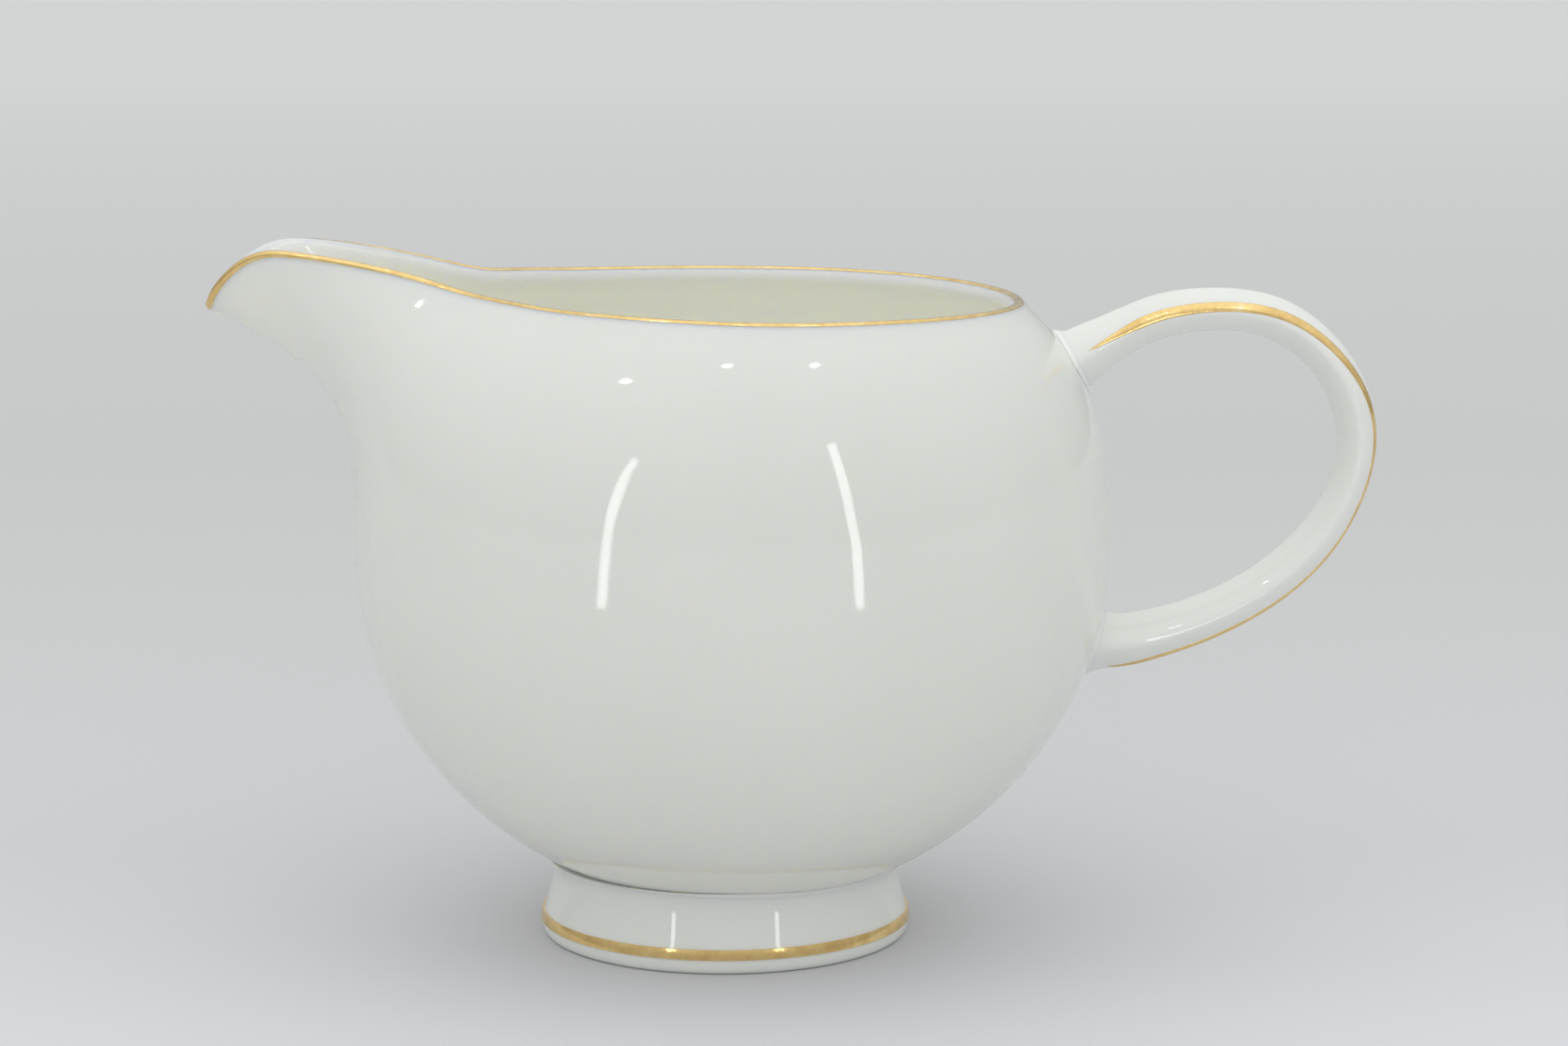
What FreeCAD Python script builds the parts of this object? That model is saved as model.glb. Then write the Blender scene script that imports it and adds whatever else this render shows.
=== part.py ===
"""Porcelain cream jug: a bone-china bowl with a pulled lip, luted foot and handle, and fine gilding.

Millimetres. +Z is up and Z = 0 is the table. The foot's axis is the Z axis, the lip points along -X and
the handle along +X. The bowl stands a little off the foot's axis, towards the handle, and the bowl, lip,
handle and their gilding are drawn about the bowl's own axis, then moved there. Everything is mirrored
about the XZ plane.
"""
import FreeCAD, Part
import math
import os

V = FreeCAD.Vector

# How far the bowl's axis stands off the foot's
OFF_AXIS = V(0.9, 0, 0)

# Bowl: a half ellipse below its widest circle, a fuller superellipse above it
BELLY_R = 44.7
BELLY_Z = 47.0
LOWER_HALF = 42.6
UPPER_HALF = 39.2
UPPER_POWER = 2.5
MOUTH_Z = 77.0
WALL = 2.3
LIP_T = 1.9
LIP_R = LIP_T / 2
THINNING_FROM = 0.55  # share of the way up the outside where the wall starts to thin

# Where the bowl starts to flow out into the lip, and how late it does so
LIP_START_Z = 52.0
LIP_FLOW = 2.65

# One half of the edge of the mouth, from the lip's tip round to the handle:
# (angle of the bowl's meridian in degrees, x, half width, z)
MOUTH_EDGE = [
    (0.0, -61.8, 0.0, 75.0),
    (4.0, -61.4, 2.4, 75.7),
    (8.0, -60.1, 4.6, 77.9),
    (11.5, -57.7, 6.3, 80.4),
    (15.0, -54.4, 8.1, 82.1),
    (19.0, -49.6, 10.0, 82.3),
    (23.0, -43.8, 11.0, 81.6),
    (27.5, -37.2, 11.9, 80.3),
    (33.0, -31.4, 13.9, 78.8),
    (41.0, -26.8, 18.1, 78.1),
    (53.0, -20.6, 24.1, 77.6),
    (72.0, -11.0, 30.0, 77.2),
    (93.0, 0.8, 33.6, 76.9),
    (120.0, 16.6, 30.2, 76.7),
    (150.0, 29.2, 17.3, 76.4),
    (180.0, 33.5, 0.0, 76.2),
]

# Heights of the bowl's upper rings, and angles of its lower ones up from the pole
UPPER_RINGS = [47.0, 51.0, 55.0, 59.0, 62.5, 65.5, 68.2, 70.5, 72.4, 74.0, 75.4, MOUTH_Z]
LOWER_STEP = 9.0
LIP_ARC_STEP = 30

# Foot: (radius, height) down its flared outside, from the fillet under the bowl to the base
FOOT_OUTSIDE = [
    (21.2, 9.45),
    (20.6, 8.75),
    (20.4, 8.0),
    (20.75, 6.2),
    (21.3, 4.2),
    (21.8, 2.6),
    (21.95, 1.5),
    (21.65, 0.4),
    (20.85, 0.0),
]
FOOT_WALL = 2.6
FOOT_LAND = 1.0
SLIP_T = 0.3

# Handle: (outer x, outer z, inner x, inner z, width across) from the upper root to the lower root
HANDLE = [
    (37.2, 71.2, 41.0, 64.3, 10.4),
    (39.9, 72.3, 42.8, 66.0, 9.0),
    (43.5, 73.8, 45.6, 68.4, 8.2),
    (48.8, 76.0, 50.0, 70.8, 7.9),
    (56.8, 77.1, 56.6, 72.0, 7.8),
    (65.2, 75.6, 63.2, 71.0, 7.8),
    (72.0, 70.3, 68.3, 67.3, 7.8),
    (75.4, 64.3, 70.7, 63.0, 7.8),
    (76.1, 58.4, 71.5, 58.4, 7.8),
    (74.7, 52.2, 70.2, 53.3, 7.8),
    (70.9, 45.3, 66.4, 47.8, 7.9),
    (64.4, 39.2, 60.7, 43.2, 8.1),
    (57.0, 35.1, 55.0, 40.4, 8.3),
    (50.3, 32.7, 49.6, 38.8, 8.7),
    (45.3, 31.7, 45.3, 38.3, 9.4),
    (39.8, 31.2, 42.4, 38.9, 10.8),
]
# Fillet at each root: (share of the way to the next station, extra on every side)
ROOT_FLARE = [(0.0, 1.5), (0.42, 0.55), (0.64, 0.12)]
HANDLE_POWER = 1.55
HANDLE_SIDES = 8

# Gilding
GOLD_T = 0.14
FOOT_GOLD_T = 0.2
GOLD_CROWN = 0.6  # how squarely the gold stands up between its feathered edges
RIM_GOLD_ARC = (2.0, 70.0)
FOOT_GOLD_Z = (1.85, 3.0)
HANDLE_GOLD_W = 1.35
HANDLE_GOLD_SPAN = (0.035, 0.962)
# (share along the handle, share across its near side) of the line's centre
HANDLE_GOLD_LINE = [(0.0, 0.40), (0.25, 0.39), (0.38, 0.30), (0.5, 0.16), (0.7, 0.14), (1.0, 0.14)]


def bowl_meridian():
    """Radius, height and lip share of each ring of the bowl, from the pole under it to the mouth."""
    rings = []
    steps = round(90.0 / LOWER_STEP)
    for i in range(steps):
        a = math.radians(i * LOWER_STEP)
        rings.append((BELLY_R * math.sin(a), BELLY_Z - LOWER_HALF * math.cos(a)))
    for z in UPPER_RINGS:
        up = (z - BELLY_Z) / UPPER_HALF
        rings.append((BELLY_R * (1.0 - up ** UPPER_POWER) ** (1.0 / UPPER_POWER), z))
    return rings


def lip_share(z):
    """How much of the lip's outward pull a ring at this height takes, 0 to 1."""
    if z <= LIP_START_Z:
        return 0.0
    return ((z - LIP_START_Z) / (MOUTH_Z - LIP_START_Z)) ** LIP_FLOW


def ring_angles():
    """Meridian angles of the near half, from the lip's tip to the handle."""
    return [row[0] for row in MOUTH_EDGE]


def mouth_edge():
    """The near half of the edge of the mouth, in the order of ring_angles."""
    return [V(x, -w, z) for _, x, w, z in MOUTH_EDGE]


def bowl_rows():
    """Half rings of points on the outside of the bowl, from the pole under it to the edge of the mouth."""
    edge = mouth_edge()
    angles = ring_angles()
    r_top = bowl_meridian()[-1][0]
    rows = []
    for r, z in bowl_meridian():
        share = lip_share(z)
        row = []
        for a, e in zip(angles, edge):
            c = -math.cos(math.radians(a))
            s = -math.sin(math.radians(a))
            pull = e - V(r_top * c, r_top * s, MOUTH_Z)
            row.append(V(r * c, r * s, z) + pull * share)
        rows.append(row)
    return rows


def chords(points):
    """Chord-length parameters, 0 to 1."""
    total = [0.0]
    for a, b in zip(points, points[1:]):
        total.append(total[-1] + (b - a).Length)
    return [t / total[-1] for t in total]


def skin(rows, across, along, mirrored=True):
    """One smooth surface through rows of points, with across and along as its knots.

    A mirrored surface starts and ends square to the XZ plane, so that it joins its mirror image smoothly.
    """
    row_poles = []
    for row in rows:
        if (row[0] - row[1]).Length < 1e-9:
            row_poles.append(None)
            continue
        ends = {}
        if mirrored:
            first = (row[1] - row[0]).Length / (across[1] - across[0])
            last = (row[-1] - row[-2]).Length / (across[-1] - across[-2])
            ends = {"InitialTangent": V(0, -first, 0), "FinalTangent": V(0, last, 0)}
        c = Part.BSplineCurve()
        c.interpolate(Points=row, Parameters=across, Scale=False, **ends)
        row_poles.append(c.getPoles())
        u_knots = c.getKnots()
        u_mults = c.getMultiplicities()
    count = sum(u_mults) - 4
    for i, row in enumerate(rows):
        if row_poles[i] is None:
            row_poles[i] = [row[0]] * count
    poles = []
    for i in range(count):
        c = Part.BSplineCurve()
        c.interpolate(Points=[row[i] for row in row_poles], Parameters=along)
        poles.append(c.getPoles())
        v_knots = c.getKnots()
        v_mults = c.getMultiplicities()
    s = Part.BSplineSurface()
    s.buildFromPolesMultsKnots(poles, u_mults, v_mults, u_knots, v_knots, False, False, 3, 3)
    return s


def solid_of(faces):
    """The solid inside faces that close on each other."""
    if len(faces) == 1:
        shell = Part.Shell(faces)
    else:
        sewn = Part.Compound(faces)
        sewn.sewShape()
        shell = sewn.Shells[0]
    solid = Part.Solid(shell)
    if solid.Volume < 0:
        solid.reverse()
    return solid


def mirrored_solid(faces):
    """The solid inside near-side faces and their mirror images."""
    far = [f.mirror(V(0, 0, 0), V(0, 1, 0)) for f in faces]
    return solid_of(faces + far)


def around():
    """Knots round half the jug, one for each meridian."""
    return [a / 180.0 for a in ring_angles()]


def bowl_outside():
    """The bowl's outer surface, from the pole under it to the edge of the mouth."""
    rows = bowl_rows()
    return skin(rows, around(), chords([V(r, 0, z) for r, z in bowl_meridian()]))


def frame_at(surface, u, v):
    """Point, outward normal and upward direction on the bowl's outer surface."""
    p = surface.value(u, v)
    along_u, along_v = surface.tangent(u, v)
    n = along_u.cross(along_v)
    n.normalize()
    return p, n, along_v


def wall_at(v):
    """Wall thickness: the full wall low down, thinning to the lip over the upper part."""
    share = max((v - THINNING_FROM) / (1.0 - THINNING_FROM), 0.0)
    return WALL + (LIP_T - WALL) * share * share * (3.0 - 2.0 * share)


def lip_ring(outside, degrees, r):
    """Half a ring at this angle over the rounded lip, from 0 on the outside to 180 on the inside."""
    a = math.radians(degrees)
    ring = []
    for u in around():
        p, n, up = frame_at(outside, u, 1.0)
        centre = p - up * LIP_R - n * LIP_R
        ring.append(centre + n * (r * math.cos(a)) + up * (r * math.sin(a)))
    return ring


def shell_rows():
    """Rings of points over the whole shell: up the outside, over the rounded lip and down the inside."""
    outside = bowl_outside()
    rows = bowl_rows()
    knots = around()
    heights = chords([V(r, 0, z) for r, z in bowl_meridian()])
    lip = [lip_ring(outside, degrees, LIP_R) for degrees in range(0, 181, LIP_ARC_STEP)]
    inside = []
    for v in reversed(heights[1:-1]):
        ring = []
        for u in knots:
            p, n, _ = frame_at(outside, u, v)
            ring.append(p - n * wall_at(v))
        inside.append(ring)
    pole = rows[0][0] + V(0, 0, WALL)
    inside.append([pole] * len(knots))
    return rows[:-1], lip, inside


def body():
    """The cast bowl with its pulled pouring lip, hollow and open at the top."""
    outer, lip, inner = shell_rows()
    rows = outer + lip + inner
    side = len(ring_angles()) // 2
    along = chords([row[side] for row in rows])
    whole = skin(rows, around(), along)
    breaks = [0.0, along[len(outer)], along[len(outer) + len(lip) - 1], 1.0]
    faces = []
    for start, stop in zip(breaks, breaks[1:]):
        part_of_it = whole.copy()
        part_of_it.segment(0.0, 1.0, start, stop)
        faces.append(part_of_it.toShape())
    return mirrored_solid(faces)


def offset_profile(gap):
    """The plain bowl's meridian moved out by gap, as points in the XZ plane from the pole to the mouth."""
    points = [V(r, 0, z) for r, z in bowl_meridian()]
    c = Part.BSplineCurve()
    c.interpolate(Points=points)
    moved = []
    for p in points:
        t = c.tangent(c.parameter(p))[0]
        moved.append(p + V(t.z, 0, -t.x) * gap)
    moved[0] = V(0, 0, points[0].z - gap)
    return moved


def luting_zone():
    """Everything inside the bowl and the thin layer of slip round it: the foot and handle end on it."""
    points = offset_profile(SLIP_T)
    c = Part.BSplineCurve()
    c.interpolate(Points=points)
    top = V(0, 0, points[-1].z)
    edges = [c.toShape(), Part.LineSegment(points[-1], top).toShape(), Part.LineSegment(top, points[0]).toShape()]
    return turned(edges)


def foot_outline():
    """The foot's flared outer edge in the XZ plane, from its fillet under the bowl down to the rounded base."""
    c = Part.BSplineCurve()
    c.interpolate(Points=[V(r, 0, z) for r, z in FOOT_OUTSIDE])
    return c


def foot_blank():
    """The foot ring before it is fitted to the bowl: flared outside, nearly upright inside."""
    outer = foot_outline()
    top_out = outer.value(outer.FirstParameter)
    base_out = outer.value(outer.LastParameter)
    neck = min(r for r, _ in FOOT_OUTSIDE[:-1])
    top_in = V(neck - FOOT_WALL, 0, top_out.z)
    base_in = V(base_out.x - FOOT_LAND, 0, 0)
    inner = Part.BSplineCurve()
    inner.interpolate(Points=[base_in, V(base_in.x - 0.45, 0, 0.45), V(top_in.x + 0.5, 0, 4.0), top_in])
    edges = [
        outer.toShape(),
        Part.LineSegment(base_out, base_in).toShape(),
        inner.toShape(),
        Part.LineSegment(top_in, top_out).toShape(),
    ]
    return turned(edges)


def turned(edges):
    """The solid turned from a closed outline in the XZ plane."""
    face = Part.Face(Part.Wire(edges))
    return face.revolve(V(0, 0, 0), V(0, 0, 1), 360)


def root_stations(root, following):
    """The handle's stations at one root, flared out in a small fillet against the bowl."""
    stations = []
    for share, extra in ROOT_FLARE:
        ox, oz, ix, iz, width = [a + (b - a) * share for a, b in zip(root, following)]
        out = V(ox - ix, 0, oz - iz)
        out.normalize()
        out = out * extra
        stations.append((ox + out.x, oz + out.z, ix - out.x, iz - out.z, width + 2 * extra))
    return stations


def handle_stations():
    upper = root_stations(HANDLE[0], HANDLE[1])
    lower = root_stations(HANDLE[-1], HANDLE[-2])
    return upper + HANDLE[1:-1] + lower[::-1]


def handle_surface():
    """The loop's skin: a rounded lozenge section with a spine outside, a ridge inside and an arris each side."""
    power = 2.0 / HANDLE_POWER
    rows = []
    centres = []
    for ox, oz, ix, iz, width in handle_stations():
        centre = V((ox + ix) / 2, 0, (oz + iz) / 2)
        out = V((ox - ix) / 2, 0, (oz - iz) / 2)
        row = []
        for i in range(HANDLE_SIDES + 1):
            a = math.pi * i / HANDLE_SIDES
            reach = math.copysign(abs(math.cos(a)) ** power, math.cos(a))
            side = abs(math.sin(a)) ** power * width / 2
            row.append(centre + out * reach + V(0, -side, 0))
        rows.append(row)
        centres.append(centre)
    across = [i / HANDLE_SIDES for i in range(HANDLE_SIDES + 1)]
    return skin(rows, across, chords(centres))


def loop_blank():
    """The loop before it is fitted to the bowl, closed flat at both roots."""
    side = handle_surface()
    far = side.toShape().mirror(V(0, 0, 0), V(0, 1, 0))
    faces = [side.toShape(), far]
    for v in (0.0, 1.0):
        edge = side.vIso(v).toShape()
        faces.append(Part.Face(Part.Wire([edge, edge.mirror(V(0, 0, 0), V(0, 1, 0))])))
    return solid_of(faces)


def crown(share):
    """Height of the gold at this share of the way across it: feathered out to nothing at both edges."""
    return GOLD_T * max(math.sin(math.pi * share), 0.0) ** GOLD_CROWN


def rim_gold_line():
    """The burnished line along the outer shoulder of the rounded lip."""
    outside = bowl_outside()
    low, high = RIM_GOLD_ARC
    steps = 6
    shares = [k / steps for k in range(steps + 1)]
    faces = []
    for proud in (1.0, 0.0):
        rows = [lip_ring(outside, low + (high - low) * k, LIP_R + proud * crown(k)) for k in shares]
        faces.append(skin(rows, around(), shares).toShape())
    return mirrored_solid(faces)


def foot_gold_band():
    """The gold band low on the foot, a thin strip standing square on the foot's own outline."""
    outline = foot_outline()
    low, high = FOOT_GOLD_Z
    back_points = []
    for z in (low, (low + high) / 2, high):
        hit = outline.intersect(Part.Plane(V(0, 0, z), V(0, 0, 1)))[0][0]
        back_points.append(V(hit.X, 0, hit.Z))
    front_points = [p + V(FOOT_GOLD_T, 0, 0) for p in back_points]
    back = Part.BSplineCurve()
    back.interpolate(Points=back_points)
    front = Part.BSplineCurve()
    front.interpolate(Points=front_points)
    edges = [
        back.toShape(),
        Part.LineSegment(back_points[-1], front_points[-1]).toShape(),
        front.toShape(),
        Part.LineSegment(front_points[0], back_points[0]).toShape(),
    ]
    return turned(edges)


def handle_gold_centre():
    """Where the near gold line runs: on the shoulder over the top of the handle, then in towards the spine."""
    c = Part.BSplineCurve()
    c.interpolate(Points=[V(v, u, 0) for v, u in HANDLE_GOLD_LINE], Parameters=[v for v, _ in HANDLE_GOLD_LINE])
    return c


def near_gold_strip():
    """The near gold line along the handle, pointed at both ends."""
    side = handle_surface()
    centre = handle_gold_centre()
    start, stop = HANDLE_GOLD_SPAN
    stations = 44
    corners = 12
    rows = []
    for k in range(stations + 1):
        v = start + (stop - start) * k / stations
        taper = min(1.0, (k + 0.35) / 4.0, (stations - k + 0.35) / 3.0)
        middle = centre.value(v).y
        half = 0.5 * HANDLE_GOLD_W * taper / side.getDN(middle, v, 1, 0).Length
        row = []
        for i in range(corners + 1):
            a = 2 * math.pi * i / corners
            p, n, _ = frame_at(side, middle + half * math.cos(a), v)
            row.append(p + n * max(math.sin(a), 0.0) * GOLD_T)
        rows.append(row)
    for end in (0, -1):
        tip = (rows[end][0] + rows[end][corners // 2]) * 0.5
        rows[end] = [tip] * (corners + 1)
    across = [i / corners for i in range(corners + 1)]
    along = [k / stations for k in range(stations + 1)]
    return solid_of([skin(rows, across, along, mirrored=False).toShape()])


def handle_gold_line():
    """Both gold lines on the handle."""
    near = near_gold_strip()
    return Part.Compound([near, near.mirror(V(0, 0, 0), V(0, 1, 0))])


def on_bowl_axis(shape):
    """The shape moved from the bowl's own axis to its place over the foot."""
    return shape.translated(OFF_AXIS)


def save(name, shape):
    shape.exportStep("parts/" + name + ".step")


if __name__ == "__main__":
    os.makedirs("parts", exist_ok=True)
    bowl = on_bowl_axis(body())
    zone = on_bowl_axis(luting_zone())
    loop = on_bowl_axis(loop_blank())
    foot = foot_blank()
    slips = loop.common(zone).cut(bowl).Solids
    slips.sort(key=lambda solid: solid.CenterOfMass.z)
    save("body", bowl)
    save("foot_ring", foot.cut(zone))
    save("foot_slip", foot.common(zone).cut(bowl))
    save("handle", loop.cut(zone))
    save("lower_handle_slip", slips[0])
    save("upper_handle_slip", slips[-1])
    save("rim_gold_line", on_bowl_axis(rim_gold_line()))
    save("foot_gold_band", foot_gold_band())
    save("handle_gold_line", on_bowl_axis(handle_gold_line()))
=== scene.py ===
"""Porcelain cream jug: looks, floor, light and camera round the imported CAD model. Metres, +Z up."""
import math

import bpy
from mathutils import Matrix, Vector


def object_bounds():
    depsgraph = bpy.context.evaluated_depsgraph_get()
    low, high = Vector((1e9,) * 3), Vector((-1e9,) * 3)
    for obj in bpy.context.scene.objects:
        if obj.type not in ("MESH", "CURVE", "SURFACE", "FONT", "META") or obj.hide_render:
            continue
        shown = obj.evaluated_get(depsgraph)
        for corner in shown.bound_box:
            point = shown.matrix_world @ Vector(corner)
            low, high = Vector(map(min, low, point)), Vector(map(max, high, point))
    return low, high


MM = 0.001

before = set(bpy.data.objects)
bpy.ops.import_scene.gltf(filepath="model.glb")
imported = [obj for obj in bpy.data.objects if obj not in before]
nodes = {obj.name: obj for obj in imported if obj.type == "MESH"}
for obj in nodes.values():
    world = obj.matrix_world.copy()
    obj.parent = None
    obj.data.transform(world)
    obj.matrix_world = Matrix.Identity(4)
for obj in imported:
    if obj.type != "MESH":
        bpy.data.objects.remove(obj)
cad_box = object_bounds()
scene = bpy.context.scene

# Camera: stands in front of the jug, a little above it
CAMERA_PLACE = Vector((0.0007, -0.460, 0.122))
CAMERA_AIM = Vector((0.00704, 0.0, 0.0492))
CAMERA_LENS = 90.34
CAMERA_NEAR = 0.01
CAMERA_FAR = 50.0

# Middle of the bowl, which tells its inside from its outside
BOWL_CENTRE = Vector((0.0009, 0.0, 0.047))
# How squarely a surface has to face that middle, or face away, to be wholly inside or outside
INSIDE_FROM = 2 * MM
INSIDE_TO = -6 * MM

# China: two tones that cloud into each other, low and high
BOWL_TONES = ((0.775, 0.79, 0.77, 1), (0.79, 0.805, 0.785, 1))
# Painted light: the bowl's inside gets lighter, creamier tones than its outside, standing in for the
# light inside the bowl; the cream is partly that of pooled glaze
INSIDE_PAINTED_LIGHT_TONES = ((0.98, 0.98, 0.885, 1), (0.99, 0.99, 0.905, 1))
SOLID_TONES = ((0.865, 0.88, 0.83, 1), (0.885, 0.895, 0.85, 1))
SLIP_TONES = ((0.93, 0.94, 0.89, 1), (0.95, 0.955, 0.91, 1))
CLOUD_SPAN = (0.35, 0.65)
GLAZE_ROUGHNESS = (0.035, 0.075)
GLAZE_IOR = 1.52
GLOW_RADIUS = (1.0, 0.93, 0.58)
BOWL_GLOW_DEPTH = 3.2 * MM
SOLID_GLOW_DEPTH = 0.6 * MM
SLIP_GLOW_DEPTH = 0.2 * MM
THIN_GLOW = 1.0
SOLID_GLOW = 0.25

# Gilding
GOLD_STOPS = [
    (0.3, (0.72, 0.49, 0.19, 1)),
    (0.55, (0.86, 0.62, 0.26, 1)),
    (0.75, (0.94, 0.74, 0.38, 1)),
]
GOLD_ROUGHNESS = (0.08, 0.22)

# Light: an even white room, brighter overhead
WORLD_COLOUR = (0.985, 1.0, 1.0, 1.0)
WORLD_LOW = 0.40
WORLD_HIGH = 1.20

# Two upright strip lamps, leaning in at the top: half the gap between them, depth and height of each end
STRIP_FOOT = Vector((0.066, -0.108, 0.028))
STRIP_TOP = Vector((0.053, -0.108, 0.106))
STRIP_AIM = Vector((0.0125, -0.043, 0.055))
STRIP_WIDTH = 0.005
STRIP_RADIANCE = 6.0

# Three small lamps overhead
SPOT_RADIANCE = 60.0
SPOT_DIRECTIONS = [(-61, 57), (-16, 68), (42, 61)]  # degrees round from the front, and up
SPOT_MIDDLE = Vector((0.0, -0.034, 0.073))  # where on the bowl their glints gather
SPOT_DISTANCE = 0.60
SPOT_SIZE = 0.022

# A broad, low lamp in front
FILL_PLACE = Vector((0.0, -1.10, 0.50))
FILL_AIM = Vector((0, 0, 0.02))
FILL_SIZE = (0.9, 0.4)
FILL_POWER = 0.95

# Floor: half its width, and its painted light and shade by depth, from in front of the jug to the far
# distance: lighter in front of the jug against the foot's shade, darker from the jug back into the middle
# distance, lighter again far off like a backdrop lit from above
FLOOR_HALF = 8.0
FLOOR_NEAR = -0.20
FLOOR_FAR = 2.20
FLOOR_PAINTED_LIGHT_STOPS = [
    (0.0, (0.76, 0.755, 0.785, 1)),
    (0.065, (0.745, 0.745, 0.77, 1)),
    (0.10, (0.655, 0.66, 0.67, 1)),
    (0.25, (0.61, 0.615, 0.61, 1)),
    (1.0, (0.70, 0.70, 0.70, 1)),
]
FLOOR_ROUGHNESS = (0.6, 0.8)


def link(obj):
    scene.collection.objects.link(obj)
    return obj


def add_camera():
    data = bpy.data.cameras.new("camera")
    data.lens = CAMERA_LENS
    data.clip_start = CAMERA_NEAR
    data.clip_end = CAMERA_FAR
    cam = link(bpy.data.objects.new("camera", data))
    cam.location = CAMERA_PLACE
    cam.rotation_euler = (CAMERA_AIM - CAMERA_PLACE).to_track_quat("-Z", "Y").to_euler()
    scene.camera = cam


def new_material(name):
    mat = bpy.data.materials.new(name)
    mat.use_nodes = True
    tree = mat.node_tree
    return mat, tree, tree.nodes["Principled BSDF"]


def noise(tree, scale, detail=4.0, roughness=0.5):
    """Noise in the object's own coordinates; scale is in cycles per metre."""
    coords = tree.nodes.new("ShaderNodeTexCoord")
    n = tree.nodes.new("ShaderNodeTexNoise")
    n.inputs["Scale"].default_value = scale
    n.inputs["Detail"].default_value = detail
    n.inputs["Roughness"].default_value = roughness
    tree.links.new(coords.outputs["Object"], n.inputs["Vector"])
    return n


def ramp(tree, source, stops):
    """A colour ramp of (position, colour) stops, read from source."""
    r = tree.nodes.new("ShaderNodeValToRGB")
    r.color_ramp.elements[0].position = stops[0][0]
    r.color_ramp.elements[0].color = stops[0][1]
    r.color_ramp.elements[1].position = stops[-1][0]
    r.color_ramp.elements[1].color = stops[-1][1]
    for position, colour in stops[1:-1]:
        r.color_ramp.elements.new(position).color = colour
    tree.links.new(source, r.inputs["Fac"])
    return r


def spread(tree, source, to, start=(0.0, 1.0)):
    """Source stretched from the range start to the range to."""
    span = tree.nodes.new("ShaderNodeMapRange")
    span.inputs["From Min"].default_value, span.inputs["From Max"].default_value = start
    span.inputs["To Min"].default_value, span.inputs["To Max"].default_value = to
    tree.links.new(source, span.inputs["Value"])
    return span.outputs["Result"]


def add_bump(tree, bsdf, height, strength, distance):
    bump = tree.nodes.new("ShaderNodeBump")
    bump.inputs["Strength"].default_value = strength
    bump.inputs["Distance"].default_value = distance
    tree.links.new(height, bump.inputs["Height"])
    tree.links.new(bump.outputs["Normal"], bsdf.inputs["Normal"])


def axis_of(tree, output, axis):
    """One axis of the coordinates named output."""
    coords = tree.nodes.new("ShaderNodeTexCoord")
    split = tree.nodes.new("ShaderNodeSeparateXYZ")
    tree.links.new(coords.outputs[output], split.inputs["Vector"])
    return split.outputs[axis]


def facing_in(tree):
    """1 where a surface faces the bowl's centre, as its inside does, and 0 where it faces away."""
    coords = tree.nodes.new("ShaderNodeTexCoord")
    away = tree.nodes.new("ShaderNodeVectorMath")
    away.operation = "SUBTRACT"
    away.inputs[1].default_value = BOWL_CENTRE
    dot = tree.nodes.new("ShaderNodeVectorMath")
    dot.operation = "DOT_PRODUCT"
    tree.links.new(coords.outputs["Object"], away.inputs[0])
    tree.links.new(away.outputs["Vector"], dot.inputs[0])
    tree.links.new(coords.outputs["Normal"], dot.inputs[1])
    return spread(tree, dot.outputs["Value"], (0.0, 1.0), (INSIDE_FROM, INSIDE_TO))


def glazed_china(name, tones, depth, inside=None):
    """White bone china under a clear glaze: faint clouding, a very slight ripple, a soft depth.

    depth is how far light wanders under the glaze, and inside is a lighter, creamier tone painted on the
    bowl's inside:
    painted light standing in for the light that reaches in and bounces round the bowl, its cream partly
    that of pooled glaze.
    in the bowl.
    """
    mat, tree, bsdf = new_material(name)
    cloud = noise(tree, 38.0, 5.0)
    colour = ramp(tree, cloud.outputs["Fac"], list(zip(CLOUD_SPAN, tones))).outputs["Color"]
    # Painted light on the bowl's inside: the lighter, creamier tones are mixed in where a surface faces
    # the bowl's middle
    if inside:
        painted_inside_light = ramp(tree, cloud.outputs["Fac"], list(zip(CLOUD_SPAN, inside)))
        mix = tree.nodes.new("ShaderNodeMixRGB")
        tree.links.new(facing_in(tree), mix.inputs["Fac"])
        tree.links.new(colour, mix.inputs["Color1"])
        tree.links.new(painted_inside_light.outputs["Color"], mix.inputs["Color2"])
        colour = mix.outputs["Color"]
    tree.links.new(colour, bsdf.inputs["Base Color"])
    gloss = noise(tree, 160.0, 3.0)
    roughness = spread(tree, gloss.outputs["Fac"], GLAZE_ROUGHNESS, (0.3, 0.7))
    tree.links.new(roughness, bsdf.inputs["Roughness"])
    ripple = noise(tree, 55.0, 2.0)
    add_bump(tree, bsdf, ripple.outputs["Fac"], 0.12, 0.05 * MM)
    bsdf.inputs["IOR"].default_value = GLAZE_IOR
    bsdf.inputs["Subsurface Weight"].default_value = THIN_GLOW if inside else SOLID_GLOW
    bsdf.inputs["Subsurface Radius"].default_value = GLOW_RADIUS
    bsdf.inputs["Subsurface Scale"].default_value = depth
    return mat


def burnished_gold(name):
    """Painted and burnished gold: metal with fine streaks and slightly uneven colour."""
    mat, tree, bsdf = new_material(name)
    patch = noise(tree, 420.0, 6.0, 0.6)
    colour = ramp(tree, patch.outputs["Fac"], GOLD_STOPS)
    tree.links.new(colour.outputs["Color"], bsdf.inputs["Base Color"])
    bsdf.inputs["Metallic"].default_value = 1.0
    streak = noise(tree, 2600.0, 2.0)
    tree.links.new(spread(tree, streak.outputs["Fac"], GOLD_ROUGHNESS), bsdf.inputs["Roughness"])
    add_bump(tree, bsdf, streak.outputs["Fac"], 0.15, 0.02 * MM)
    return mat


def paint(names, mat):
    for n in names:
        obj = nodes[n]
        obj.data.materials.clear()
        obj.data.materials.append(mat)
        for polygon in obj.data.polygons:
            polygon.material_index = 0


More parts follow.
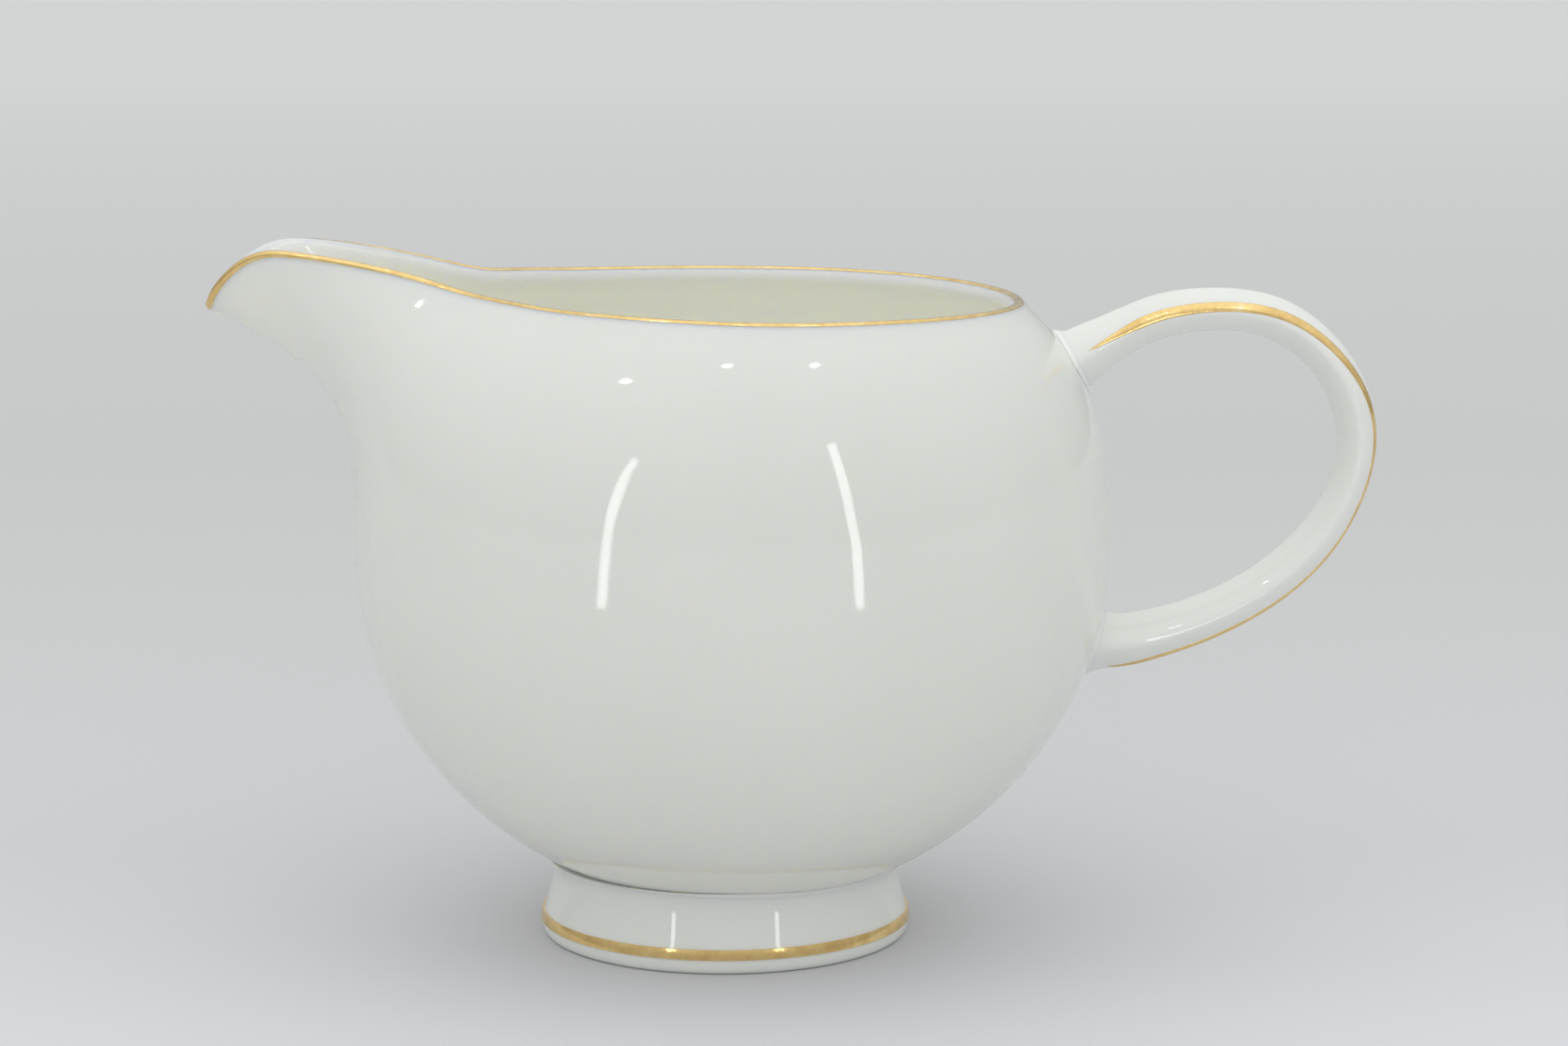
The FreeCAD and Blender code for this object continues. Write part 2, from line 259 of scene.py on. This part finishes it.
def add_floor():
    mesh = bpy.data.meshes.new("floor")
    z = cad_box[0].z
    corners = [(x * FLOOR_HALF, y * FLOOR_HALF, z) for x, y in ((-1, -1), (1, -1), (1, 1), (-1, 1))]
    mesh.from_pydata(corners, [], [(0, 1, 2, 3)])
    floor = link(bpy.data.objects.new("floor", mesh))
    mat, tree, bsdf = new_material("pale_floor")
    # Painted light and shade: the floor's tone follows its depth
    depth = spread(tree, axis_of(tree, "Object", "Y"), (0.0, 1.0), (FLOOR_NEAR, FLOOR_FAR))
    colour = ramp(tree, depth, FLOOR_PAINTED_LIGHT_STOPS)
    tree.links.new(colour.outputs["Color"], bsdf.inputs["Base Color"])
    grain = noise(tree, 900.0, 3.0)
    tree.links.new(spread(tree, grain.outputs["Fac"], FLOOR_ROUGHNESS), bsdf.inputs["Roughness"])
    bsdf.inputs["Specular IOR Level"].default_value = 0.2
    mesh.materials.append(mat)


def add_world():
    world = bpy.data.worlds.new("studio")
    world.use_nodes = True
    tree = world.node_tree
    background = tree.nodes["Background"]
    background.inputs["Color"].default_value = WORLD_COLOUR
    rise = spread(tree, axis_of(tree, "Generated", "Z"), (WORLD_LOW, WORLD_HIGH))
    tree.links.new(rise, background.inputs["Strength"])
    scene.world = world


def add_lamp(name, size, energy):
    """A rectangular area lamp that the camera doesn't see."""
    data = bpy.data.lights.new(name, "AREA")
    data.shape = "RECTANGLE"
    data.size, data.size_y = size
    data.energy = energy
    lamp = link(bpy.data.objects.new(name, data))
    lamp.visible_camera = False
    return lamp


def add_highlight(name, low, high, width, aim, radiance):
    """A strip lamp from low to high, turned to face aim and seen only in the glaze and the gold."""
    place = (low + high) / 2
    length = (high - low).length
    lamp = add_lamp(name, (width, length), radiance * math.pi * width * length)
    up = (high - low).normalized()
    back = place - aim
    back = (back - up * back.dot(up)).normalized()
    turn = Matrix((up.cross(back), up, back)).transposed()
    lamp.matrix_world = Matrix.Translation(place) @ turn.to_4x4()
    lamp.visible_diffuse = False


def add_fill():
    """The broad front lamp fills the shade at the foot and isn't seen in the glaze."""
    lamp = add_lamp("fill", FILL_SIZE, FILL_POWER)
    lamp.location = FILL_PLACE
    lamp.rotation_euler = (FILL_AIM - FILL_PLACE).to_track_quat("-Z", "Y").to_euler()
    lamp.visible_glossy = False


def add_strips():
    for side in (-1, 1):
        foot, top, aim = [Vector((side * p.x, p.y, p.z)) for p in (STRIP_FOOT, STRIP_TOP, STRIP_AIM)]
        add_highlight(f"strip_{side}", foot, top, STRIP_WIDTH, aim, STRIP_RADIANCE)


def add_spots():
    half = Vector((0, 0, SPOT_SIZE / 2))
    for number, (azimuth, elevation) in enumerate(SPOT_DIRECTIONS):
        a, e = math.radians(azimuth), math.radians(elevation)
        way = Vector((math.sin(a) * math.cos(e), -math.cos(a) * math.cos(e), math.sin(e)))
        place = SPOT_MIDDLE + way * SPOT_DISTANCE
        add_highlight(f"spot_{number}", place - half, place + half, SPOT_SIZE, SPOT_MIDDLE, SPOT_RADIANCE)


add_camera()
add_floor()
add_world()
add_fill()
add_strips()
add_spots()
bowl_china = glazed_china("bowl_china", BOWL_TONES, BOWL_GLOW_DEPTH, inside=INSIDE_PAINTED_LIGHT_TONES)
china = glazed_china("bone_china", SOLID_TONES, SOLID_GLOW_DEPTH)
slip = glazed_china("slip_seam", SLIP_TONES, SLIP_GLOW_DEPTH)
gold = burnished_gold("gilding")
paint(["body"], bowl_china)
paint(["handle", "foot_ring"], china)
paint(["foot_slip", "upper_handle_slip", "lower_handle_slip"], slip)
paint(["rim_gold_line", "foot_gold_band", "handle_gold_line"], gold)
scene.view_settings.view_transform = "Standard"
